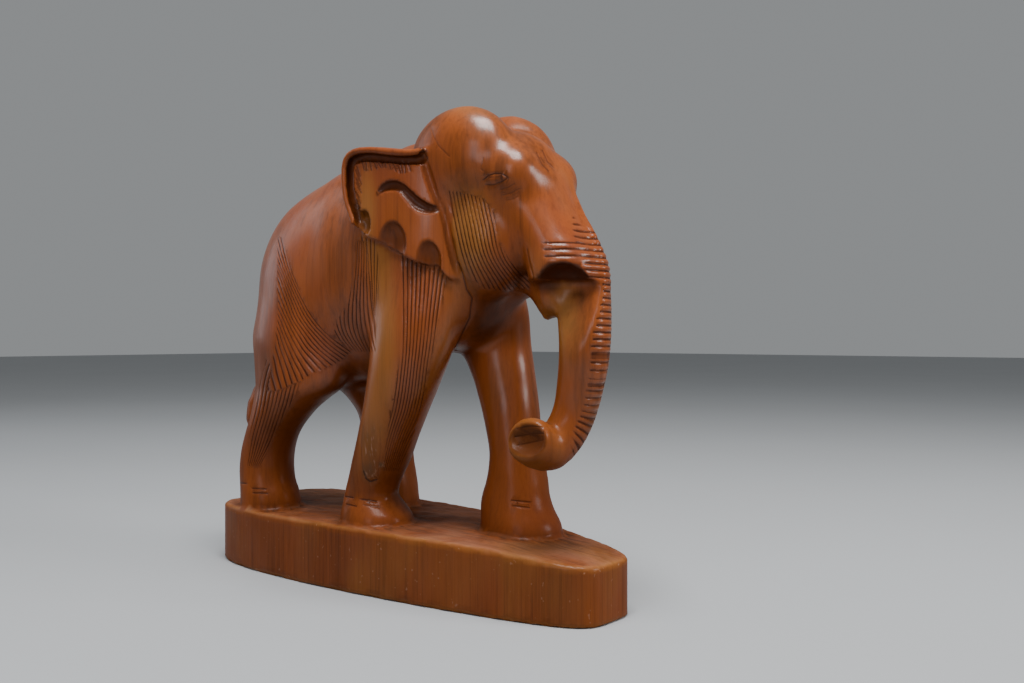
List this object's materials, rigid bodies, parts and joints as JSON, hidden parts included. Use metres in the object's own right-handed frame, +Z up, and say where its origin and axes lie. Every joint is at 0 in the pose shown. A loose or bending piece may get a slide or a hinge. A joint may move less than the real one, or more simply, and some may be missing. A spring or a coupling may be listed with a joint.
{
  "type": "carved wooden elephant figure",
  "caption": "Varnished wooden elephant with a curled trunk, walking on a long low plinth, carved from a single block as a shelf ornament.",
  "frame": {"origin": "middle of the plinth's length and width, on its flat underside", "axes": "+Z up; +X the way the elephant walks, along the plinth; +Y the elephant's left side"},
  "size_m": [0.253, 0.089, 0.235],
  "materials": {
    "varnished_wood": "clear gloss varnish over orange-brown hardwood, darker in the cuts"
  },
  "bodies": {
    "root": {"carved_elephant": "varnished_wood"}
  },
  "joints": []
}
